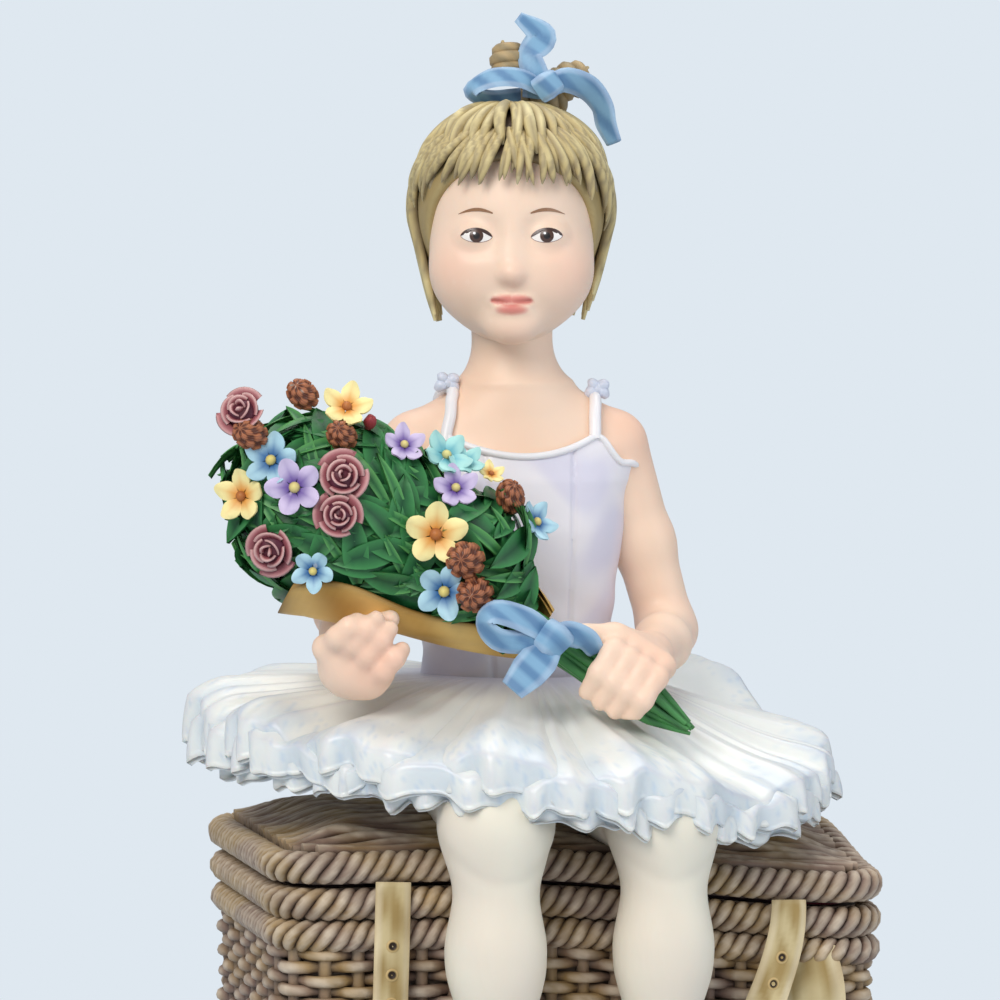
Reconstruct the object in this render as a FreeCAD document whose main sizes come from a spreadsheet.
"""Ballerina jewellery box: a cast figure of a seated dancer on the hinged lid of a wicker-pattern hamper.

The hamper holds a lined jewel tray above a wind-up music movement whose key comes out of the back wall.
Frame: millimetres, +Z up, -Y is the front, origin at the middle of the face that the box stands on.
"""
import FreeCAD, Part
import math
import os
import re
import Sketcher
from FreeCAD import Placement, Rotation, Vector

# Driving dimensions, in millimetres, degrees or counts
SIZES = [
    ("basket_width", 116, "woven wall, left to right"),
    ("basket_depth", 76, "woven wall, front to back"),
    ("basket_height", 64, "ground to the top of the basket's rim"),
    ("corner_radius", 9, "plan radius of the basket's corners"),
    ("wall", 4, "basket wall at the rim"),
    ("floor", 4, "basket floor"),
    ("felt", 1.2, "felt glued under the floor"),
    ("felt_inset", 2, "felt edge inside the basket's edge"),
    ("rope_radius", 3.1, "half the height of one rope border"),
    ("rope_proud", 3, "basket border outside the wall"),
    ("lid_proud", 4.4, "lid border outside the wall"),
    ("ledge_height", 38, "ground to the ledge that carries the tray"),
    ("ledge", 3, "width of that ledge"),
    ("seam_gap", 0.2, "between the closed lid and the rim"),
    ("dome_rise", 4, "crown of the lid above its border"),
    ("dome_inset", 3, "foot of the dome inside the wall line"),
    ("dome_slope", 13, "plan run of the dome's sloping side"),
    ("lip_depth", 3, "locating lip under the lid"),
    ("lip_width", 3, "thickness of that lip"),
    ("lip_clearance", 0.5, "lip to basket wall"),
    ("lining", 1, "felt lining in the lid"),
    ("tray_depth", 20, "jewel tray, floor to edge"),
    ("tray_wall", 1.6, "tray wall and floor"),
    ("tray_clearance", 0.3, "tray to basket wall"),
    ("tray_back_gap", 6.2, "room behind the tray for the stop wire"),
    ("hinge_spread", 62, "between the two hinges' middles"),
    ("hinge_width", 16, "length of one hinge"),
    ("knuckle_radius", 1.6, "outside of the hinge barrel"),
    ("hinge_pin_radius", 0.7, "hinge pin"),
    ("leaf", 0.8, "hinge leaf thickness"),
    ("leaf_height", 7, "hinge leaf, up or down from the barrel"),
    ("hinge_screw_radius", 0.6, "screws in the hinge leaves"),
    ("heel_length", 3.4, "stop heel on the lid's hinge leaf"),
    ("lid_opening", 45, "degrees, where the heel meets the box leaf"),
    ("strap_width", 6.8, "leather strap"),
    ("strap_thickness", 1.2, "leather strap"),
    ("strap_spread", 78, "between the two straps"),
    ("strap_drop", 42, "strap length below the lid"),
    ("strap_hole", 0.9, "radius of the punched holes"),
    ("strap_clearance", 0.3, "strap to the basket's border"),
    ("bed_width", 68, "movement bedplate, left to right"),
    ("bed_depth", 58, "movement bedplate, front to back"),
    ("bed_plate", 2, "bedplate thickness"),
    ("gear_module", 0.5, "all the train's wheels"),
    ("wheel_teeth", 48, "great wheel on the barrel"),
    ("pinion_teeth", 24, "pinion on the cylinder"),
    ("end_teeth", 40, "wheel at the cylinder's other end"),
    ("governor_teeth", 8, "governor pinion"),
    ("worm_wheel_teeth", 12, "wheel that drives the worm"),
    ("arbor_height", 15.3, "arbors above the basket floor"),
    ("arbor_radius", 1.5, "winding arbor"),
    ("shaft_radius", 1, "cylinder and governor shafts"),
    ("running_fit", 0.04, "radial clearance of a running shaft"),
    ("bracket", 1.6, "bearing bracket plate"),
    ("bracket_reach", 26.2, "movement middle to the bracket's middle"),
    ("barrel_radius", 10, "spring barrel"),
    ("barrel_length", 13, "spring barrel"),
    ("barrel_wall", 0.8, "spring barrel and its cap"),
    ("spring_thickness", 0.35, "mainspring strip"),
    ("spring_pitch", 0.9, "mainspring, turn to turn"),
    ("drum_radius", 6, "pinned cylinder"),
    ("drum_length", 27, "pinned cylinder"),
    ("pin_radius", 0.2, "music pins"),
    ("pin_proud", 0.6, "music pins outside the cylinder"),
    ("comb_teeth", 18, "notes on the comb"),
    ("comb_plate", 1.2, "comb thickness"),
    ("comb_gap", 0.35, "comb tips to the pins"),
    ("fly_radius", 3.6, "air brake"),
    ("key_wing", 6.5, "radius of one wing of the key"),
    ("key_plate", 2.2, "thickness of the key's wings"),
    ("key_gap", 3, "key to the back border"),
    ("wire_radius", 0.6, "stop wire"),
    ("figure_x", -4.5, "figure's middle, left or right of the box's middle"),
    ("waist_rise", 31.6, "seat to waist"),
    ("torso_height", 46, "waist to the pit of the neck"),
    ("chest_half_width", 21.5, "bodice under the arms"),
    ("waist_half_width", 17.6, "bodice at the waist"),
    ("chest_half_depth", 13.4, "bodice under the arms"),
    ("neck_radius", 8.2, "neck"),
    ("neck_length", 15, "pit of the neck to the jaw"),
    ("head_half_width", 17.3, "skull"),
    ("head_height", 49, "chin to the crown of the hair"),
    ("hair_thickness", 3.4, "hair over the skull"),
    ("bun_radius", 9.5, "hair gathered on the crown"),
    ("shoulder_half_width", 22, "neck middle to the shoulder joint"),
    ("upper_arm_radius", 6.3, "arm under the shoulder"),
    ("wrist_radius", 3.9, "wrist"),
    ("hip_half_width", 20, "hips"),
    ("leg_spacing", 33, "knee to knee"),
    ("knee_radius", 9.7, "knee"),
    ("knee_rise", 3.5, "seat to the middle of the knee"),
    ("calf_radius", 9, "calf"),
    ("ankle_radius", 5.2, "ankle"),
    ("leg_clearance", 0.8, "calf to the lid's front border"),
    ("foot_length", 29, "heel to toe"),
    ("ground_clearance", 2.6, "sole above the ground"),
    ("skirt_radius", 64, "skirt, waist middle to rim"),
    ("skirt_folds", 13, "ruffles round the rim"),
    ("ruffle", 2.6, "height of a ruffle's wave"),
    ("rim_drop", 11, "depth of the turned-down rim"),
    ("bouquet_length", 66, "tie to the tip of the flowers"),
    ("bouquet_radius", 20.5, "flower head"),
    ("stem_length", 33, "tie to the cut ends"),
    ("wrap_wall", 1.2, "paper wrap"),
    ("flower_radius", 4.6, "one flower"),
]
NAMES = {name for name, value, meaning in SIZES}

doc = FreeCAD.newDocument("ballerina_box")
sheet = doc.addObject("Spreadsheet::Sheet", "sizes")
for row, (name, value, meaning) in enumerate(SIZES, 1):
    sheet.set(f"A{row}", name)
    sheet.set(f"B{row}", str(value))
    sheet.set(f"C{row}", meaning)
    sheet.setAlias(f"B{row}", name)
doc.recompute()

PIECES = {}
X_AXIS = Rotation(Vector(0, 1, 0), 90)
Y_AXIS = Rotation(Vector(1, 0, 0), -90)
Z_AXIS = Rotation()


def number(formula):
    """The value of a formula in the sheet's names."""
    return float(sheet.evalExpression(formula))


def bind(thing, target, formula):
    """Ties a property to a formula in the sheet's names."""
    named = re.sub(r"[a-z_]+", lambda word: "sizes." + word[0] if word[0] in NAMES else word[0], formula)
    thing.setExpression(target, named)


def place(thing, x="0", y="0", z="0", turn=Z_AXIS):
    thing.Placement = Placement(Vector(), turn)
    for letter, formula in zip("xyz", (x, y, z)):
        bind(thing, f"Placement.Base.{letter}", formula)
    return thing


def piece(label, thing):
    """Makes an object of the document a sub-part of the box."""
    thing.Label = label
    PIECES[label] = thing
    return thing


# Levels and places that several pieces share, as formulas
FLOOR_TOP = "(felt + floor)"
BED_TOP = f"({FLOOR_TOP} + bed_plate)"
LID_UNDER = "(basket_height + seam_gap)"
LID_EDGE = f"({LID_UNDER} + 2*rope_radius)"
SEAT = f"({LID_EDGE} + dome_rise)"
BACK_BORDER = "(basket_depth/2 + lid_proud)"
HINGE_Y = f"({BACK_BORDER} + knuckle_radius)"
HINGE_Z = "(basket_height + seam_gap/2)"
ARBOR_Z = f"({FLOOR_TOP} + arbor_height)"
WHEEL_X = "(gear_module*(wheel_teeth + pinion_teeth)/2)"
GOVERNOR_X = "(gear_module*(end_teeth + governor_teeth)/2)"
STRAP_Y = "(basket_depth/2 + rope_proud + strap_clearance)"


# Solids bound to the sheet
def block(length, width, height, x, y, z, name="block"):
    """A box centred on x and y, standing on z."""
    thing = doc.addObject("Part::Box", name)
    for target, formula in (("Length", length), ("Width", width), ("Height", height)):
        bind(thing, target, formula)
    return place(thing, f"{x} - ({length})/2", f"{y} - ({width})/2", z)


def rod(radius, length, x, y, z, turn=Z_AXIS, name="rod"):
    """A cylinder that starts at a point and runs along an axis."""
    thing = doc.addObject("Part::Cylinder", name)
    bind(thing, "Radius", radius)
    bind(thing, "Height", length)
    return place(thing, x, y, z, turn)


def ball(radius, x, y, z):
    thing = doc.addObject("Part::Sphere", "ball")
    bind(thing, "Radius", radius)
    return place(thing, x, y, z)


def joined(parts, name="joined"):
    thing = doc.addObject("Part::MultiFuse", name)
    thing.Shapes = parts
    return thing


def without(base, tools, name="cut"):
    thing = doc.addObject("Part::Cut", name)
    thing.Base = base
    thing.Tool = tools[0] if len(tools) == 1 else joined(tools, name + "_tools")
    return thing


def group(parts, name="group"):
    """Separate solids that make one sub-part."""
    thing = doc.addObject("Part::Compound", name)
    thing.Links = parts
    return thing


# Bodies made from sketches
def new_body(label):
    return piece(label, doc.addObject("PartDesign::Body", label))


def sketch_on(body, level="0", turn=None):
    """A sketch on the body's XY plane, at a level above it."""
    base = next(f for f in body.Origin.OriginFeatures if f.Role == "XY_Plane")
    sketch = body.newObject("Sketcher::SketchObject", body.Name + "_sketch")
    sketch.AttachmentSupport = [(base, "")]
    sketch.MapMode = "FlatFace"
    if turn:
        bind(sketch, "AttachmentOffset.Rotation.Angle", turn)
    bind(sketch, "AttachmentOffset.Base.z", level)
    return sketch


def dimension(sketch, kind, where, formula):
    index = sketch.addConstraint(Sketcher.Constraint(kind, *where, number(formula)))
    bind(sketch, f"Constraints[{index}]", formula)


def draw_circle(sketch, radius, x="0", y="0"):
    circle = sketch.addGeometry(Part.Circle(Vector(number(x), number(y), 0), Vector(0, 0, 1), number(radius)))
    dimension(sketch, "Radius", (circle,), radius)
    dimension(sketch, "DistanceX", (circle, 3), x)
    dimension(sketch, "DistanceY", (circle, 3), y)


def draw_polygon(sketch, corners):
    """A closed run of straight lines through corners given as pairs of formulas."""
    points = [Vector(number(x), number(y), 0) for x, y in corners]
    count = len(points)
    first = None
    for here in range(count):
        line = sketch.addGeometry(Part.LineSegment(points[here], points[(here + 1) % count]))
        first = line if first is None else first
    for here in range(count):
        after = first + (here + 1) % count
        sketch.addConstraint(Sketcher.Constraint("Coincident", first + here, 2, after, 1))
        dimension(sketch, "DistanceX", (first + here, 1), corners[here][0])
        dimension(sketch, "DistanceY", (first + here, 1), corners[here][1])


def draw_rounded(sketch, width, depth, radius, y="0"):
    """A rectangle with round corners, centred on the sketch's origin or on y."""
    half_x, half_y, round_off = number(width) / 2, number(depth) / 2, number(radius)
    middle = number(y)
    flat_x, flat_y = half_x - round_off, half_y - round_off
    start = sketch.GeometryCount
    for quarter, (side_x, side_y) in enumerate(((1, 1), (-1, 1), (-1, -1), (1, -1))):
        centre = Vector(side_x * flat_x, middle + side_y * flat_y, 0)
        circle = Part.Circle(centre, Vector(0, 0, 1), round_off)
        sketch.addGeometry(Part.ArcOfCircle(circle, quarter * math.pi / 2, (quarter + 1) * math.pi / 2))
    for quarter in range(4):
        after = (quarter + 1) % 4
        line = sketch.addGeometry(
            Part.LineSegment(
                sketch.getPoint(start + quarter, 2),
                sketch.getPoint(start + after, 1),
            )
        )
        sketch.addConstraint(Sketcher.Constraint("Tangent", start + quarter, 2, line, 1))
        sketch.addConstraint(Sketcher.Constraint("Tangent", line, 2, start + after, 1))
        sketch.addConstraint(Sketcher.Constraint("Vertical" if quarter % 2 else "Horizontal", line))
        if quarter:
            sketch.addConstraint(Sketcher.Constraint("Equal", start, start + quarter))
    dimension(sketch, "Radius", (start,), radius)
    dimension(sketch, "DistanceX", (start, 1), f"({width})/2")
    dimension(sketch, "DistanceX", (start + 1, 2), f"-({width})/2")
    dimension(sketch, "DistanceY", (start, 2), f"({depth})/2 + {y}")
    dimension(sketch, "DistanceY", (start + 2, 2), f"-({depth})/2 + {y}")


def pad(body, sketch, length):
    feature = body.newObject("PartDesign::Pad", body.Name + "_pad")
    feature.Profile = sketch
    bind(feature, "Length", length)
    doc.recompute()
    return feature


def pocket(body, sketch, depth):
    """Cuts upwards from the sketch, and stops if nothing was cut."""
    before = body.Shape.Volume
    feature = body.newObject("PartDesign::Pocket", body.Name + "_pocket")
    feature.Profile = sketch
    feature.Reversed = True
    bind(feature, "Length", depth)
    doc.recompute()
    if body.Shape.Volume > before - 1e-6:
        raise RuntimeError(f"a pocket in {body.Label} cut nothing")
    return feature


# The basket, its felt and its tray
BORDER_LEVELS = ((0, 0.45), (0.28, 1), (0.72, 1), (1, 0.45))


def border(body, bottom, proud):
    """One rope border: a band round the wall with bevelled edges."""
    rings = []
    for share, reach in BORDER_LEVELS:
        ring = sketch_on(body, f"{bottom} + {share}*2*rope_radius")
        out = f"({proud}*{reach})"
        draw_rounded(ring, f"basket_width + 2*{out}", f"basket_depth + 2*{out}", f"corner_radius + {out}")
        rings.append(ring)
    band = body.newObject("PartDesign::AdditiveLoft", body.Name + "_border")
    band.Profile = rings[0]
    band.Sections = rings[1:]
    band.Ruled = True
    doc.recompute()
    return band


def basket():
    body = new_body("basket_body")
    sketch = sketch_on(body, "felt")
    draw_rounded(sketch, "basket_width", "basket_depth", "corner_radius")
    pad(body, sketch, "basket_height - felt")
    for count in (1, 2):
        border(body, f"(basket_height - {2 * count}*rope_radius)", "rope_proud")
    upper = sketch_on(body, "ledge_height")
    draw_rounded(upper, "basket_width - 2*wall", "basket_depth - 2*wall", "corner_radius - wall")
    pocket(body, upper, "basket_height - ledge_height + wall")
    lower = sketch_on(body, FLOOR_TOP)
    draw_rounded(
        lower,
        "basket_width - 2*wall - 2*ledge",
        "basket_depth - 2*wall - 2*ledge",
        "corner_radius - wall",
    )
    pocket(body, lower, f"ledge_height - {FLOOR_TOP}")
    holes = sketch_on(body, "felt + floor/4")
    for x, y in bed_corners():
        draw_circle(holes, "shaft_radius + running_fit", x, y)
    pocket(body, holes, "floor")
    return body


def bed_corners():
    return [(f"{a}(bed_width/2 - 3.4)", f"{b}(bed_depth/2 - 4)") for a in ("", "-") for b in ("", "-")]


def basket_with_key_hole():
    """The casting, with the hole in its back wall that the winding arbor comes through."""
    body = basket()
    hole = rod("arbor_radius + 0.4", "wall + ledge + 2*rope_proud", WHEEL_X, "basket_depth/2 - wall - ledge - 1",
               ARBOR_Z, Y_AXIS, "key_hole")
    del PIECES["basket_body"]
    body.Label = "basket_casting"
    return piece("basket_body", without(body, [hole]))


def base_felt():
    body = new_body("base_felt")
    sketch = sketch_on(body)
    draw_rounded(sketch, "basket_width - 2*felt_inset", "basket_depth - 2*felt_inset", "corner_radius - felt_inset")
    pad(body, sketch, "felt")


def jewel_tray():
    body = new_body("jewel_tray")
    depth = "(basket_depth - 2*wall - tray_clearance - tray_back_gap)"
    middle = "((tray_clearance - tray_back_gap)/2)"
    width = "(basket_width - 2*wall - 2*tray_clearance)"
    radius = "(corner_radius - wall - tray_clearance)"
    sketch = sketch_on(body, "ledge_height")
    draw_rounded(sketch, width, depth, radius, middle)
    pad(body, sketch, "tray_depth")
    inside = f"{depth} - 2*tray_wall"
    for side in (1, -1):
        hollow = sketch_on(body, "ledge_height + tray_wall")
        near = f"{side}*tray_wall/2"
        far = f"{side}*({width}/2 - tray_wall)"
        corners = [(near, f"{middle} - ({inside})/2"), (far, f"{middle} - ({inside})/2"),
                   (far, f"{middle} + ({inside})/2"), (near, f"{middle} + ({inside})/2")]
        draw_polygon(hollow, corners if side > 0 else corners[::-1])
        pocket(body, hollow, "tray_depth")


# The lid
def lid():
    body = new_body("lid")
    border(body, LID_UNDER, "lid_proud")
    foot = sketch_on(body, LID_EDGE)
    draw_rounded(foot, "basket_width - 2*dome_inset", "basket_depth - 2*dome_inset", "corner_radius")
    crown = sketch_on(body, SEAT)
    draw_rounded(crown, "basket_width - 2*dome_inset - 2*dome_slope", "basket_depth - 2*dome_inset - 2*dome_slope",
                 "corner_radius")
    dome = body.newObject("PartDesign::AdditiveLoft", "lid_dome")
    dome.Profile = foot
    dome.Sections = [crown]
    doc.recompute()
    lip = sketch_on(body, f"{LID_UNDER} - lip_depth")
    inset = "wall + lip_clearance"
    draw_rounded(lip, f"basket_width - 2*({inset})", f"basket_depth - 2*({inset})", f"corner_radius - ({inset})")
    draw_rounded(lip, f"basket_width - 2*({inset} + lip_width)", f"basket_depth - 2*({inset} + lip_width)",
                 f"corner_radius - ({inset})")
    pad(body, lip, "lip_depth")


def lid_lining():
    body = new_body("lid_lining")
    sketch = sketch_on(body, f"{LID_UNDER} - lining")
    inset = "wall + lip_clearance + lip_width + tray_clearance"
    draw_rounded(sketch, f"basket_width - 2*({inset})", f"basket_depth - 2*({inset})",
                 "corner_radius - wall - lip_clearance")
    pad(body, sketch, "lining")


# Hinges: the box leaf has the two outer knuckles and the lid leaf the middle one
HINGE_GAP = 0.2


def hinges():
    box_leaves, lid_leaves, pins, box_screws, lid_screws = [], [], [], [], []
    outer = f"(hinge_width*0.3 - {HINGE_GAP})"
    middle = "(hinge_width*0.4)"
    bore = "hinge_pin_radius + running_fit"
    leaf_y = f"({BACK_BORDER} + leaf/2)"
    low = f"({HINGE_Z} - knuckle_radius - {HINGE_GAP} - leaf_height)"
    high = f"({HINGE_Z} + knuckle_radius + {HINGE_GAP})"
    for side in (-1, 1):
        centre = f"{side}*hinge_spread/2"
        left = f"{centre} - hinge_width/2"
        bore_rod = rod(bore, "hinge_width + 2", f"{left} - 1", HINGE_Y, HINGE_Z, X_AXIS)
        screw_x = [f"{centre} - hinge_width/4", f"{centre} + hinge_width/4"]
        box_holes = [rod("hinge_screw_radius", "leaf + 2", x, f"{BACK_BORDER} - 1", f"{low} + leaf_height/3", Y_AXIS)
                     for x in screw_x]
        lid_holes = [rod("hinge_screw_radius", "leaf + 2", x, f"{BACK_BORDER} - 1",
                         f"{LID_UNDER} + rope_radius", Y_AXIS) for x in screw_x]
        packing = "(leaf + lid_proud - rope_proud)"
        parts = [block("hinge_width", packing, "leaf_height", centre, f"{BACK_BORDER} + leaf - {packing}/2", low)]
        for start in (left, f"{centre} + hinge_width/2 - {outer}"):
            parts.append(rod("knuckle_radius", outer, start, HINGE_Y, HINGE_Z, X_AXIS))
            parts.append(block(outer, "leaf", f"knuckle_radius + {HINGE_GAP} + 0.2", f"{start} + {outer}/2", leaf_y,
                               f"{low} + leaf_height - 0.2"))
        box_leaves.append(without(joined(parts), [bore_rod, *box_holes]))
        heel = rod("0.6", "hinge_width*0.3", f"{centre} - hinge_width*0.15",
                   f"{HINGE_Y} + heel_length*sin(lid_opening)", f"{HINGE_Z} - heel_length*cos(lid_opening)", X_AXIS)
        web = doc.addObject("Part::Box", "heel_web")
        bind(web, "Length", "hinge_width*0.3")
        bind(web, "Height", "heel_length")
        web.Width = 1.2
        web.Placement = Placement(Vector(), Rotation(Vector(1, 0, 0), 180 + number("lid_opening")))
        bind(web, "Placement.Base.x", f"{centre} - hinge_width*0.15")
        bind(web, "Placement.Base.y", f"{HINGE_Y} + 0.6*cos(lid_opening)")
        bind(web, "Placement.Base.z", f"{HINGE_Z} + 0.6*sin(lid_opening)")
        tongue = block(middle, "leaf", f"knuckle_radius + {HINGE_GAP} + 0.2", centre, leaf_y, HINGE_Z)
        parts = [
            block("hinge_width", "leaf", f"{LID_EDGE} - {high} - 0.4", centre, leaf_y, high),
            rod("knuckle_radius", middle, f"{centre} - {middle}/2", HINGE_Y, HINGE_Z, X_AXIS),
            tongue,
            heel,
            web,
        ]
        lid_leaves.append(without(joined(parts), [bore_rod, *lid_holes]))
        pins.append(rod("hinge_pin_radius", "hinge_width", left, HINGE_Y, HINGE_Z, X_AXIS))
        for x in screw_x:
            box_screws.append(hinge_screw(x, f"{low} + leaf_height/3"))
            lid_screws.append(hinge_screw(x, f"{LID_UNDER} + rope_radius"))
    piece("hinge_box_leaves", group(box_leaves))
    piece("hinge_lid_leaves", group(lid_leaves))
    piece("hinge_pins", group(pins))
    piece("hinge_box_screws", group(box_screws))
    piece("hinge_lid_screws", group(lid_screws))


def hinge_screw(x, z):
    shank = rod("hinge_screw_radius", "leaf", x, BACK_BORDER, z, Y_AXIS)
    head = rod("2*hinge_screw_radius", "0.5", x, f"{BACK_BORDER} + leaf", z, Y_AXIS)
    return joined([shank, head])



# Straps, buckles and the corner tab
def straps():
    """The left strap hangs straight; the right one swings inwards."""
    side = "(strap_spread/2)"
    swing = {"left_strap": ("-", 0), "right_strap": ("", -10)}
    for label, (sign, drift) in swing.items():
        body = doc.addObject("PartDesign::Body", label + "_leather")
        sketch = sketch_on(body)
        edges = []
        for share in (0, 0.35, 0.65, 0.92):
            middle = f"{sign}{side} + {drift}*{round(share ** 2, 3)}"
            edges.append((middle, f"strap_drop*{share} - 1.2"))
        tip = f"{sign}{side} + {drift}"
        down = [(f"{x} + strap_width/2", y) for x, y in edges]
        back = [(f"{x} - strap_width/2", y) for x, y in edges[::-1]]
        draw_polygon(sketch, down + [(tip, "strap_drop")] + back)
        pad(body, sketch, "strap_thickness")
        holes = sketch_on(body)
        for share in (0.3, 0.42, 0.54, 0.66, 0.78):
            draw_circle(holes, "strap_hole", f"{sign}{side} + {drift}*{round(share ** 2, 3)}", f"strap_drop*{share}")
        pocket(body, holes, "strap_thickness")
        place(body, "0", f"-{STRAP_Y} - strap_thickness", LID_UNDER, Y_AXIS)
        piece(label, without(body, [PIECES["lid"]]))


def buckles():
    """Chapes riveted to the basket's front, each holding a wire buckle."""
    frames, chapes = [], []
    face = "(-basket_depth/2)"
    for sign in ("-", ""):
        x = f"({sign}strap_spread/2)"
        low = "(basket_height*0.16)"
        outer = block("strap_width + 5", "1.4", "9", x, f"{face} - 1.1", low)
        window = block("strap_width + 1.6", "3", "5.6", x, f"{face} - 1.1", f"{low} + 1.7")
        prong = block("1", "1", "8", x, f"{face} - 2.4", f"{low} + 0.5")
        frames.append(joined([without(outer, [window]), prong]))
        leather = block("strap_width", "2.4", "8", x, f"{face} - 1.2", "felt + 1.4")
        eye = block("strap_width + 5.2", "1.8", "3", x, f"{face} - 1.1", f"{low} - 0.2")
        chapes.append(without(leather, [eye]))
    piece("buckle_chapes", without(group(chapes), [group(frames)]))
    piece("strap_buckles", group(frames))


def corner_tab():
    leather = block("13", "1.6", "15", "basket_width/2 - corner_radius - 5", "-basket_depth/2 - 0.8",
                    "basket_height - 4*rope_radius - 17")
    hole = rod("2.2", "4", "basket_width/2 - corner_radius - 3.5", "-basket_depth/2 - 3",
               "basket_height - 4*rope_radius - 11", Y_AXIS)
    stud = joined([
        rod("2.2", "1.6", "basket_width/2 - corner_radius - 3.5", "-basket_depth/2 - 1.6",
            "basket_height - 4*rope_radius - 11", Y_AXIS),
        rod("3.2", "1", "basket_width/2 - corner_radius - 3.5", "-basket_depth/2 - 2.6",
            "basket_height - 4*rope_radius - 11", Y_AXIS),
    ])
    piece("corner_tab", without(leather, [hole]))
    piece("tab_stud", stud)


# The music movement
TIP_HALF, PITCH_HALF, ROOT_HALF = 0.12 * math.pi, 0.22 * math.pi, 0.30 * math.pi


def add_teeth(body, teeth, width, level="0", half_turn=False):
    """Pads one thin tooth and repeats it round the body's axis."""
    sketch = sketch_on(body, level, f"180/{teeth}" if half_turn else None)
    root, tip = f"gear_module*({teeth}/2 - 1.25)", f"gear_module*({teeth}/2 + 0.75)"
    draw_polygon(sketch, [
        (root, f"-{ROOT_HALF}*gear_module"), (tip, f"-{TIP_HALF}*gear_module"),
        (tip, f"{TIP_HALF}*gear_module"), (root, f"{ROOT_HALF}*gear_module"),
    ])
    tooth = pad(body, sketch, width)
    pattern = body.newObject("PartDesign::PolarPattern", body.Name + "_teeth")
    pattern.Originals = [tooth]
    axis = next(f for f in body.Origin.OriginFeatures if f.Role == "Z_Axis")
    pattern.Axis = (axis, [""])
    pattern.Angle = 360
    bind(pattern, "Occurrences", teeth)
    body.Tip = pattern
    doc.recompute()


def gear(label, teeth, bore, width, x, y, half_turn=False):
    body = new_body(label)
    disc = sketch_on(body)
    draw_circle(disc, f"gear_module*({teeth}/2 - 1)")
    draw_circle(disc, bore)
    pad(body, disc, width)
    add_teeth(body, teeth, width, "0", half_turn)
    place(body, x, y, ARBOR_Z, Y_AXIS)


COMB_X = "(-(drum_radius + pin_proud + comb_gap))"
COMB_BACK = f"({COMB_X} - 23)"
COMB_Y = "(-6)"
COMB_BLOCK = "(arbor_height - bed_plate - comb_plate/2)"
DRUM_Y = f"({COMB_Y} - drum_length/2)"
WHEEL_Y = f"({DRUM_Y} + drum_length + 1)"
WHEEL_WIDTH = "2"
BARREL_Y = f"({WHEEL_Y} - barrel_length)"
END_WHEEL_Y = f"({DRUM_Y} - 4)"


def comb_screw_places():
    return [(f"{COMB_BACK} + 5", f"{COMB_Y} + {sign}drum_length/4") for sign in ("", "-")]


def bedplate():
    body = new_body("bedplate")
    plate = sketch_on(body, FLOOR_TOP)
    draw_rounded(plate, "bed_width", "bed_depth", "2")
    for x, y in bed_corners():
        draw_circle(plate, "shaft_radius + running_fit", x, y)
    pad(body, plate, "bed_plate")
    pedestal = sketch_on(body, BED_TOP)
    left, right = COMB_BACK, f"{COMB_BACK} + 10"
    low, high = f"{COMB_Y} - drum_length/2", f"{COMB_Y} + drum_length/2"
    draw_polygon(pedestal, [(left, low), (right, low), (right, high), (left, high)])
    for x, y in comb_screw_places():
        draw_circle(pedestal, "shaft_radius", x, y)
    pad(body, pedestal, COMB_BLOCK)


def comb():
    body = new_body("comb")
    base = sketch_on(body, f"{BED_TOP} + {COMB_BLOCK}")
    left, right = COMB_BACK, f"{COMB_BACK} + 10"
    low, high = f"{COMB_Y} - drum_length/2", f"{COMB_Y} + drum_length/2"
    draw_polygon(base, [(left, low), (right, low), (right, high), (left, high)])
    for x, y in comb_screw_places():
        draw_circle(base, "shaft_radius", x, y)
    pad(body, base, "comb_plate")
    tooth = sketch_on(body, f"{BED_TOP} + {COMB_BLOCK}")
    pitch = "(drum_length/comb_teeth)"
    near, far = f"{low} + 0.14*{pitch}", f"{low} + 0.86*{pitch}"
    draw_polygon(tooth, [(f"{right} - 0.2", near), (COMB_X, near), (COMB_X, far), (f"{right} - 0.2", far)])
    first = pad(body, tooth, "comb_plate")
    pattern = body.newObject("PartDesign::LinearPattern", "comb_teeth")
    pattern.Originals = [first]
    axis = next(f for f in body.Origin.OriginFeatures if f.Role == "Y_Axis")
    pattern.Direction = (axis, [""])
    bind(pattern, "Length", f"drum_length - {pitch}")
    bind(pattern, "Occurrences", "comb_teeth")
    body.Tip = pattern
    doc.recompute()


def screw(x, y, seat, shank):
    stem = rod("shaft_radius", shank, x, y, f"{seat} - ({shank})")
    head = rod("2.1*shaft_radius", "1.3", x, y, seat)
    slot = block("5*shaft_radius", "0.5", "1", x, y, f"{seat} + 0.8")
    return without(joined([stem, head]), [slot])


def movement_screws():
    top = f"{BED_TOP} + {COMB_BLOCK} + comb_plate"
    piece("comb_screws", group([screw(x, y, top, "comb_plate + 5") for x, y in comb_screw_places()]))
    piece("bed_screws", group([screw(x, y, BED_TOP, "bed_plate + floor/2") for x, y in bed_corners()]))


def bracket(label, x, width, y, height, bores):
    plate = block(width, "bracket", height, x, y, BED_TOP, label + "_plate")
    holes = [rod(radius, "bracket + 2", at, f"{y} - bracket/2 - 1", z, Y_AXIS) for radius, at, z in bores]
    piece(label, without(plate, holes))


CLICK_X = f"({WHEEL_X} + 7.5)"
CLICK_Z = f"({ARBOR_Z} + 6.5)"
CLICK_Y = "(bracket_reach - bracket/2 - 8)"


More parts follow.
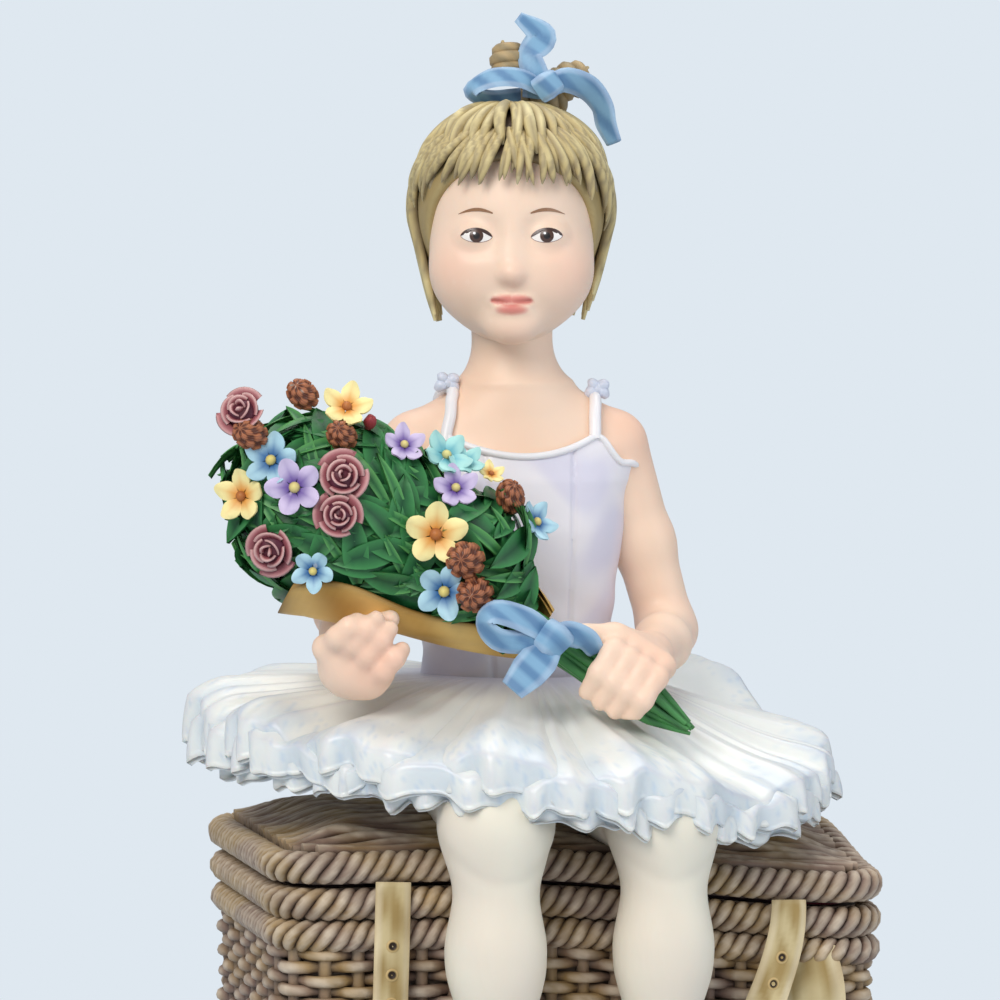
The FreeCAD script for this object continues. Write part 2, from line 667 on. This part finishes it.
def brackets():
    shaft, arbor = "shaft_radius + running_fit", "arbor_radius + running_fit"
    tall = "(arbor_height + 5)"
    bracket("front_bracket", "7", "30", "-bracket_reach", tall,
            [(shaft, "0", ARBOR_Z), (shaft, GOVERNOR_X, ARBOR_Z)])
    bracket("centre_bracket", WHEEL_X, "12", f"{BARREL_Y} - 2.4", tall, [(arbor, WHEEL_X, ARBOR_Z)])
    bracket("rear_bracket", "10.6", "35.2", "bracket_reach", f"{tall} + 4",
            [(shaft, "0", ARBOR_Z), (arbor, WHEEL_X, ARBOR_Z), ("shaft_radius", CLICK_X, CLICK_Z)])


def spring_barrel():
    body = new_body("spring_barrel")
    drum = sketch_on(body)
    draw_circle(drum, "barrel_radius")
    draw_circle(drum, "barrel_radius - barrel_wall")
    pad(body, drum, "barrel_length")
    wheel = sketch_on(body, "barrel_length")
    draw_circle(wheel, "gear_module*(wheel_teeth/2 - 1)")
    draw_circle(wheel, "arbor_radius + running_fit")
    pad(body, wheel, WHEEL_WIDTH)
    add_teeth(body, "wheel_teeth", WHEEL_WIDTH, "barrel_length")
    place(body, WHEEL_X, BARREL_Y, ARBOR_Z, Y_AXIS)
    cover = new_body("barrel_cap")
    disc = sketch_on(cover)
    draw_circle(disc, "barrel_radius")
    draw_circle(disc, "arbor_radius + running_fit")
    pad(cover, disc, "barrel_wall")
    place(cover, WHEEL_X, f"{BARREL_Y} - barrel_wall", ARBOR_Z, Y_AXIS)


def mainspring():
    """One flat strip wound outwards in half circles until it lies on the barrel's wall."""
    pitch, thick = number("spring_pitch"), number("spring_thickness")
    inner = number("arbor_radius") + 0.8
    outer = number("barrel_radius - barrel_wall") - thick / 2
    halves = int((outer - inner) / (pitch / 2))
    start = outer - halves * pitch / 2

    def edge_run(side):
        arcs = []
        for half in range(halves + 1):
            radius = start + half * pitch / 2 + side * thick / 2
            centre = Vector(0 if (halves - half) % 2 == 0 else pitch / 2, 0, 0)
            sign = 1 if (halves - half) % 2 == 0 else -1
            ends = [centre + Vector(sign * turn * radius, 0, 0) for turn in (1, -1)]
            arcs.append(Part.Arc(ends[0], centre + Vector(0, sign * radius, 0), ends[1]).toShape())
        return arcs

    inside, outside = edge_run(-1), edge_run(1)
    caps = [Part.makeLine(inside[0].Vertexes[0].Point, outside[0].Vertexes[0].Point),
            Part.makeLine(inside[-1].Vertexes[-1].Point, outside[-1].Vertexes[-1].Point)]
    ring = Part.Wire(Part.__sortEdges__([*inside, *outside, *caps]))
    strip = Part.Face(ring).extrude(Vector(0, 0, number("barrel_length") - 1.5))
    spring = doc.addObject("Part::Feature", "mainspring")
    spring.Shape = strip
    place(spring, WHEEL_X, f"{BARREL_Y} + 0.75", ARBOR_Z, Y_AXIS)
    piece("mainspring", spring)
    print("mainspring: turns", halves / 2, "gap between turns", round(pitch - thick, 2))


def winding_train():
    y_front = f"({BARREL_Y} - 4.5)"
    key_y = f"({BACK_BORDER} + key_gap)"
    piece("winding_arbor", rod("arbor_radius", f"{key_y} + 7 - {y_front}", WHEEL_X, y_front, ARBOR_Z, Y_AXIS))
    gear("ratchet_wheel", "16", "arbor_radius", "bracket", WHEEL_X, CLICK_Y)
    lever = doc.addObject("Part::Box", "click_lever")
    for target, formula in (("Length", "6.4"), ("Width", "bracket"), ("Height", "1.3")):
        bind(lever, target, formula)
    lever.Placement = Placement(Vector(), Rotation(Vector(0, 1, 0), 180 - 14))
    for letter, formula in zip("xyz", (f"{CLICK_X} + 0.16", CLICK_Y, f"{CLICK_Z} + 0.63")):
        bind(lever, f"Placement.Base.{letter}", formula)
    pivot = rod("shaft_radius", f"bracket_reach - {CLICK_Y} + bracket/2", CLICK_X, CLICK_Y, CLICK_Z, Y_AXIS)
    boss = rod("1.9*shaft_radius", "bracket", CLICK_X, CLICK_Y, CLICK_Z, Y_AXIS)
    piece("click", without(joined([lever, pivot, boss]), [PIECES["ratchet_wheel"]]))
    hub = rod("arbor_radius + 1.3", "8", WHEEL_X, key_y, ARBOR_Z, Y_AXIS)
    wings = []
    for side in (1, -1):
        x = f"{WHEEL_X} + {side}*(key_wing + 0.8)"
        disc = rod("key_wing", "key_plate", x, f"{key_y} + 9.5", f"{ARBOR_Z} - key_plate/2")
        eye = rod("key_wing*0.45", "key_plate + 2", x, f"{key_y} + 9.5", f"{ARBOR_Z} - key_plate/2 - 1")
        wings.append(without(disc, [eye]))
    bridge = block("4", "5", "key_plate", WHEEL_X, f"{key_y} + 9.5", f"{ARBOR_Z} - key_plate/2")
    bore = rod("arbor_radius", "7", WHEEL_X, key_y, ARBOR_Z, Y_AXIS)
    piece("winding_key", without(joined([hub, bridge, *wings]), [bore]))


def cylinder():
    body = new_body("pinned_cylinder")
    drum = sketch_on(body)
    draw_circle(drum, "drum_radius")
    draw_circle(drum, "shaft_radius")
    pad(body, drum, "drum_length")
    place(body, "0", DRUM_Y, ARBOR_Z, Y_AXIS)
    span = "2*bracket_reach + bracket"
    piece("cylinder_shaft", rod("shaft_radius", span, "0", f"-bracket_reach - bracket/2", ARBOR_Z, Y_AXIS))
    gear("cylinder_pinion", "pinion_teeth", "shaft_radius", WHEEL_WIDTH, "0", WHEEL_Y, True)
    gear("cylinder_wheel", "end_teeth", "shaft_radius", "1.5", "0", END_WHEEL_Y)
    music_pins()


def music_pins():
    """Short pins standing on the cylinder, three to each note, at angles that a formula spreads."""
    pins = []
    pitch = number("drum_length/comb_teeth")
    for note in range(int(number("comb_teeth"))):
        for beat in range(3):
            angle = math.radians(40 + 137.5 * note + 112 * beat)
            outwards = Vector(math.cos(angle), 0, math.sin(angle))
            foot = Vector(0, number(DRUM_Y) + (note + 0.5) * pitch, number(ARBOR_Z))
            foot += outwards * number("drum_radius")
            pins.append(Part.makeCylinder(number("pin_radius"), number("pin_proud"), foot, outwards))
    made = doc.addObject("Part::Feature", "music_pins")
    made.Shape = Part.makeCompound(pins)
    piece("music_pins", made)


WORM_X = f"({GOVERNOR_X} + gear_module*(worm_wheel_teeth/2 + 0.75) + 1.35)"
WORM_Y = "(-17)"
FRAME_Y = f"({WORM_Y} + 4.8)"


def governor():
    """A fast shaft, the worm it turns, and the fly that brakes it."""
    front = "(-bracket_reach - bracket/2)"
    piece("governor_shaft", rod("shaft_radius", f"{FRAME_Y} + 0.8 - {front}", GOVERNOR_X, front, ARBOR_Z, Y_AXIS))
    gear("governor_pinion", "governor_teeth", "shaft_radius", "2", GOVERNOR_X, f"{END_WHEEL_Y} - 0.2", True)
    gear("worm_wheel", "worm_wheel_teeth", "shaft_radius", "2", GOVERNOR_X, f"{WORM_Y} - 1")
    upright = block("12", "bracket", "24", f"{GOVERNOR_X} + 3", FRAME_Y, BED_TOP)
    arms = [block("5.5", "6.6", "bracket", WORM_X, f"{WORM_Y} + 1.1", level)
            for level in (BED_TOP, f"{BED_TOP} + 24 - bracket")]
    holes = [rod("shaft_radius + running_fit", "6", GOVERNOR_X, f"{FRAME_Y} - 3", ARBOR_Z, Y_AXIS),
             rod("0.6 + running_fit", "30", WORM_X, WORM_Y, BED_TOP)]
    piece("governor_frame", without(joined([upright, *arms]), holes))
    wing = block("2*fly_radius", "0.5", "4", WORM_X, WORM_Y, f"{ARBOR_Z} + 4.4")
    thread = worm_thread()
    piece("fly_worm", joined([thread, wing]))


def worm_thread():
    """Three threads side by side: a three-lobed ring carried up the spindle and turned as it rises."""
    lead, height = 3 * math.pi * number("gear_module"), 7.5
    points = []
    for corner in range(18):
        angle = 2 * math.pi * corner / 18
        radius = 1 + 0.25 * math.cos(3 * angle)
        points.append(Vector(radius * math.cos(angle), radius * math.sin(angle), 0))
    curve = Part.BSplineCurve()
    curve.interpolate(points, PeriodicFlag=True)
    sweep = Part.BRepOffsetAPI.MakePipeShell(Part.Wire(Part.makeLine(Vector(), Vector(0, 0, height))))
    sweep.setAuxiliarySpine(Part.Wire(Part.makeHelix(lead, height, 2)), True, 0)
    sweep.add(Part.Wire(curve.toShape()))
    sweep.build()
    sweep.makeSolid()
    spindle = Part.makeCylinder(0.6, 24, Vector(0, 0, number(f"{BED_TOP} - {ARBOR_Z}") + height / 2))
    thread = doc.addObject("Part::Feature", "worm_thread")
    thread.Shape = sweep.shape().fuse(spindle)
    return place(thread, WORM_X, WORM_Y, f"{ARBOR_Z} - {height}/2")


WIRE_X = "(bed_width/2)"
WIRE_Y = "(basket_depth/2 - wall - tray_back_gap/2 - 1.4)"


def stop_work():
    """A wire that the closed lid holds down beside the fly, and the block it slides in."""
    low = f"({ARBOR_Z} + 7.5)"
    top = f"({LID_UNDER} - lining - 0.3)"
    reach = f"({WORM_X} + fly_radius + 1)"
    corners = [ball("wire_radius", WIRE_X, y, low) for y in (WIRE_Y, WORM_Y)]
    runs = [
        rod("wire_radius", f"{top} - {low}", WIRE_X, WIRE_Y, low),
        rod("wire_radius", f"{WIRE_Y} - {WORM_Y}", WIRE_X, WORM_Y, low, Y_AXIS),
        rod("wire_radius", f"{WIRE_X} - {reach}", reach, WORM_Y, low, X_AXIS),
    ]
    piece("stop_wire", joined([*runs, *corners]))
    depth = f"(basket_depth/2 - wall - {WIRE_Y} + 1.1)"
    holder = block("8", depth, "6", WIRE_X, f"basket_depth/2 - wall - {depth}/2", "ledge_height + 8")
    bore = rod("wire_radius + running_fit", "20", WIRE_X, WIRE_Y, "ledge_height")
    piece("stop_guide", without(holder, [bore]))


# The cast figure
def middle(x=0, y=0, rise=0):
    """A point given from the figure's middle line, the box's middle and the seat."""
    return Vector(number("figure_x") + x, y, number(SEAT) + rise)


def oval(centre, half_width, half_depth):
    """A level ellipse, wider than deep."""
    ellipse = Part.Ellipse(centre + Vector(half_width, 0, 0), centre + Vector(0, half_depth, 0), centre)
    return Part.Wire(ellipse.toShape())


def ring(centre, direction, radius):
    return Part.Wire(Part.Circle(centre, direction, radius).toShape())


def ellipsoid(centre, half_x, half_y, half_z):
    matrix = FreeCAD.Matrix()
    matrix.scale(half_x, half_y, half_z)
    matrix.move(centre)
    return Part.makeSphere(1).transformGeometry(matrix)


def limb(stations):
    """A run of tapered rounds through points with radii, with a ball at each bend."""
    form = None
    for (begin, thick), (end, thin) in zip(stations, stations[1:]):
        part = Part.makeCone(thick, thin, (end - begin).Length, begin, end - begin)
        form = part if form is None else form.fuse(part)
        form = form.fuse(Part.makeSphere(thin, end))
    return form.fuse(Part.makeSphere(stations[0][1], stations[0][0])).removeSplitter()


def cast(label, shape, neighbours=()):
    """A modelled form, cut back where the pieces it touches already are."""
    for name in neighbours:
        other = PIECES[name].Shape
        if shape.BoundBox.intersect(other.BoundBox):
            shape = shape.cut(other)
    parts = [solid for solid in shape.Solids if solid.Volume > 2]
    feature = doc.addObject("Part::Feature", label)
    feature.Shape = parts[0] if len(parts) == 1 else Part.makeCompound(parts)
    return piece(label, feature)


WAIST = "waist_rise"
NECK = "(waist_rise + torso_height)"
CHIN = f"({NECK} + neck_length)"
KNEE_Y = "(-(basket_depth/2 + lid_proud + leg_clearance + calf_radius))"


def hips_and_legs():
    cast("hips", ellipsoid(middle(0, 4, 13), number("hip_half_width"), 16, 15), ["lid"])
    knee_y, knee = number(KNEE_Y), number("knee_radius")
    half = number("leg_spacing/2")
    drop = -number(SEAT) + number("ground_clearance")
    for label, side in (("left_leg", 1), ("right_leg", -1)):
        x = side * half
        thigh = knee + 0.6
        calf, ankle = number("calf_radius"), number("ankle_radius")
        hip, bend = middle(side * 10, -2, thigh), middle(x, knee_y, number("knee_rise"))
        upper = Part.makeCone(thigh, knee, (bend - hip).Length, hip, bend - hip)
        shin = Part.makeLoft([
            ring(centre, Vector(0, 0, 1), radius) for centre, radius in (
                (bend, knee), (middle(x, knee_y, -8), knee * 0.92), (middle(x, knee_y, -20), calf),
                (middle(x, knee_y, -0.5 * number(SEAT)), calf * 0.93),
                (middle(x, knee_y - 0.5, drop + 24), calf * 0.74), (middle(x, knee_y - 1, drop + 6), ankle),
            )
        ], True, False)
        leg = upper.fuse(Part.makeSphere(knee, bend)).fuse(shin)
        length = number("foot_length")
        foot = Part.makeLoft([
            Part.Wire(Part.Ellipse(c + Vector(w, 0, 0), c + Vector(0, 0, h), c).toShape())
            for c, w, h in (
                (middle(x, knee_y + 4.5, drop + 4.6), 2.6, 2.5), (middle(x, knee_y + 1, drop + 4.9), 4.9, 4.8),
                (middle(x, knee_y - length * 0.3, drop + 4.6), 5, 4.5),
                (middle(x, knee_y - length * 0.6, drop + 3), 4.8, 2.9),
                (middle(x, knee_y - length + 4.5, drop + 2), 2.6, 1.9),
            )
        ], True, False)
        cast(label, leg.fuse(foot), ["lid", "hips"])


DROOP_AT = 50


def skirt_ring(reach, level, tilt, wave):
    """A closed curve round the waist whose height and radius follow the ruffles."""
    folds = int(number("skirt_folds"))
    points = []
    for step in range(3 * folds):
        angle = 2 * math.pi * step / (3 * folds)
        ripple = wave * math.cos(folds * angle) + 0.5 * wave * math.sin(2 * angle + 1)
        radius = reach + 0.5 * wave * math.sin(folds * angle + 0.6)
        dip = math.exp(-(math.remainder(angle + math.radians(DROOP_AT), 2 * math.pi) / 0.45) ** 2)
        lean = tilt * (5.5 * math.sin(angle) - 4 * math.cos(angle) - 5 * dip)
        points.append(middle(radius * math.cos(angle), 0.95 * radius * math.sin(angle) - 2, level + lean + ripple))
    curve = Part.BSplineCurve()
    curve.interpolate(points, PeriodicFlag=True)
    return Part.Wire(curve.toShape())


def skirt():
    reach, rim, wave = number("skirt_radius"), number("rim_drop"), number("ruffle")
    waist = number(WAIST)
    size = number("waist_half_width")
    rows = [
        (size, waist, 0, 0), (0.5 * reach, waist - 4, 0.4, 0.3 * wave), (0.82 * reach, waist - 9, 0.8, 0.7 * wave),
        (0.97 * reach, waist - 12, 1, wave), (reach, waist - 12 - 0.5 * rim, 1, wave),
        (0.96 * reach, waist - 12 - rim, 1, wave), (0.85 * reach, waist - 10 - 0.8 * rim, 0.9, 0.6 * wave),
        (0.5 * reach, waist - 13, 0.4, 0.2 * wave), (size, waist - 12, 0, 0),
    ]
    form = Part.makeLoft([skirt_ring(*row) for row in rows], True, True)
    cast("skirt", form, ["hips", "left_leg", "right_leg"])


def torso():
    wide, waist, deep = number("chest_half_width"), number("waist_half_width"), number("chest_half_depth")
    tall, base = number("torso_height"), number(WAIST)
    neck = number("neck_radius")
    form = Part.makeLoft([
        oval(middle(0, 3 - lean, base + share * tall), half_width, half_depth)
        for share, half_width, half_depth, lean in (
            (0, waist, deep * 0.9, 0), (0.28, waist + 0.2, deep * 0.94, 0.5), (0.58, wide - 1, deep, 1),
            (0.8, wide, deep, 0.5), (0.93, wide - 2.5, deep * 0.8, 0), (1.04, 13, 9, 0),
            (1.12, neck + 0.4, neck, 1), (1.36, neck, neck - 0.2, 2.5),
        )
    ], True, True)
    cast("torso", form)


def head_and_hair():
    chin, tall = number(CHIN), number("head_height")
    wide, hair = number("head_half_width"), number("hair_thickness")
    centre = middle(-1, 1.5, chin + 0.56 * tall)
    up = 0.44 * tall - hair
    skull = ellipsoid(centre, wide, wide + 2.8, up)
    jaw = ellipsoid(middle(-1.5, -4.5, chin + 0.33 * tall), wide * 0.82, wide * 0.8, 0.33 * tall)
    cast("head", skull.fuse(jaw), ["torso"])
    shell = ellipsoid(centre + Vector(0, 1, 0), wide + hair, wide + 2.8 + hair, up + hair)
    nape = ellipsoid(centre + Vector(0, 7, -5), wide + hair - 1, wide - 1, up - 2)
    window = ellipsoid(middle(-1, -19, chin + 0.27 * tall), 0.8 * wide, 20, 0.39 * tall)
    cast("hair", shell.fuse(nape).cut(window), ["head"])
    crown = chin + tall
    bun = number("bun_radius")
    knot = ellipsoid(middle(2.5, 7, crown - 1), bun, bun * 0.9, bun * 0.75)
    for at, size in ((middle(-2.5, 2, crown + 6), (3.6, 3.6, 5.6)), (middle(11, 3, crown + 4), (4.6, 3.6, 3.4))):
        knot = knot.fuse(ellipsoid(at, *size))
    cast("hair_topknot", knot, ["hair", "head"])
    bow = ellipsoid(middle(5.5, -3.5, crown + 2), 2.6, 2.6, 2.6)
    for at, size in (
        (middle(-6, 0.5, crown + 1.6), (6, 3, 2.8)), (middle(2.5, 0, crown + 8.3), (2.6, 1.6, 7.6)),
        (middle(12.5, 0, crown - 0.5), (6, 2.6, 4.2)), (middle(19, -1, crown - 6.5), (2.5, 1.8, 4.2)),
    ):
        bow = bow.fuse(ellipsoid(at, *size))
    cast("hair_ribbon", bow, ["hair", "head", "hair_topknot"])


# The bouquet lies across the lap along one line, from the cut stems to the flower head
BOUQUET_RUN = Vector(-0.817, 0.224, 0.532)
TOWARDS_VIEWER = Vector(0.1, -0.85, 0.5)


def bouquet_point(along, side=0, front=0):
    tie = middle(-2.5, -36, number(WAIST) + 4.4)
    forward = TOWARDS_VIEWER - BOUQUET_RUN * TOWARDS_VIEWER.dot(BOUQUET_RUN)
    forward.normalize()
    across = BOUQUET_RUN.cross(forward)
    return tie + BOUQUET_RUN * along + across * side + forward * front


def bouquet():
    length, wide = number("bouquet_length"), number("bouquet_radius")
    wall, stem = number("wrap_wall"), number("stem_length")
    outer = Part.makeCone(4.6, wide + wall, 0.66 * length, bouquet_point(3), BOUQUET_RUN)
    inner = Part.makeCone(4.6 - wall, wide, 0.66 * length, bouquet_point(3), BOUQUET_RUN)
    front = bouquet_point(0, 0, 1) - bouquet_point(0)
    mask = Part.makeCylinder(2 * length, 2 * length, bouquet_point(0, 0, 3.5), front)
    cast("bouquet_wrap", outer.cut(inner).cut(mask), ["torso", "skirt"])
    profile = ((3, 3.6), (0.3, 0.48), (0.55, 0.88), (0.78, 1), (0.93, 0.8), (1, 0.45))
    rings = []
    for share, size in profile:
        along, radius = (share, size) if share > 1 else (share * length, size * wide)
        rings.append(ring(bouquet_point(along), BOUQUET_RUN, radius))
    leaves = Part.makeLoft(rings, True, True)
    cast("bouquet_foliage", leaves, ["torso", "skirt", "bouquet_wrap"])
    stems = None
    for count in range(6):
        angle = math.radians(60 * count)
        begin = bouquet_point(3, 1.6 * math.cos(angle), 1.6 * math.sin(angle))
        end = bouquet_point(-stem, 3.2 * math.cos(angle), 3.2 * math.sin(angle))
        one = Part.makeCylinder(1.5, (end - begin).Length, begin, end - begin)
        stems = one if stems is None else stems.fuse(one)
    cast("bouquet_stems", stems, ["skirt", "left_leg", "bouquet_wrap", "bouquet_foliage"])
    flowers = []
    for share, size, first, count in ((0.36, 0.58, 35, 3), (0.6, 0.95, 10, 5), (0.82, 0.97, 20, 5), (0.96, 0.66, 35, 3)):
        for step in range(count):
            angle = math.radians(first + step * (180 - 2 * first) / (count - 1))
            side, out = math.cos(angle), math.sin(angle)
            foot = bouquet_point(share * length, size * wide * side, size * wide * out)
            outwards = bouquet_point(0, side, out) - bouquet_point(0)
            radius = number("flower_radius")
            flowers.append(Part.makeCone(radius * 0.6, radius, 3.4, foot - outwards, outwards))
    cast("bouquet_flowers", Part.makeCompound(flowers), ["bouquet_wrap", "bouquet_foliage"])
    knot = bouquet_point(0, 2, 7)
    bow = ellipsoid(knot, 3, 2.4, 3)
    for move, size in ((Vector(-7, 1, 3), (6, 2.2, 3.4)), (Vector(6, 0, -1), (4.5, 2.2, 3)),
                       (Vector(-4, 0, -8), (3, 1.4, 7))):
        bow = bow.fuse(ellipsoid(knot + move, *size))
    cast("bouquet_bow", bow, ["bouquet_wrap", "bouquet_stems", "bouquet_foliage"])


def arms():
    rise = number(WAIST) + number("torso_height") * 0.88
    half, thick, wrist = number("shoulder_half_width"), number("upper_arm_radius"), number("wrist_radius")
    waist = number(WAIST)
    left = limb([
        (middle(half - 1, 3, rise), thick), (middle(half + 10, 4, waist + 2), thick * 0.86),
        (middle(half - 4, -31, waist - 1), wrist),
    ])
    hand = ellipsoid(middle(half - 8.5, -37, waist - 1.5), 6, 7.5, 6)
    cast("left_arm", left.fuse(hand), ["torso", "skirt", "bouquet_stems"])
    right = limb([
        (middle(1 - half, 3, rise), thick), (middle(-half - 13, 2.5, waist + 8), thick * 0.86),
        (middle(-half - 16.5, -29, waist + 2), wrist),
    ])
    hand = ellipsoid(middle(-half - 17.5, -36, waist + 2.5), 6, 7, 7)
    cast("right_arm", right.fuse(hand), ["torso", "skirt", "bouquet_wrap", "bouquet_foliage"])


basket_with_key_hole()
base_felt()
jewel_tray()
lid()
lid_lining()
hinges()
straps()
buckles()
corner_tab()
bedplate()
comb()
movement_screws()
brackets()
spring_barrel()
mainspring()
winding_train()
cylinder()
governor()
stop_work()
doc.recompute()
hips_and_legs()
skirt()
torso()
head_and_hair()
bouquet()
arms()
doc.recompute()

# Test every object, then write one file for each sub-part
for thing in doc.Objects:
    if {"Invalid", "Error"} & set(thing.State):
        raise RuntimeError(f"{thing.Label} did not build: {thing.State}")
os.makedirs("parts", exist_ok=True)
for label, thing in PIECES.items():
    shape = thing.Shape
    if shape.isNull() or not shape.isValid() or not shape.Solids:
        raise RuntimeError(f"{label} has no valid shape")
    shape.exportStep(f"parts/{label}.step")
print(len(PIECES), "sub-parts written")
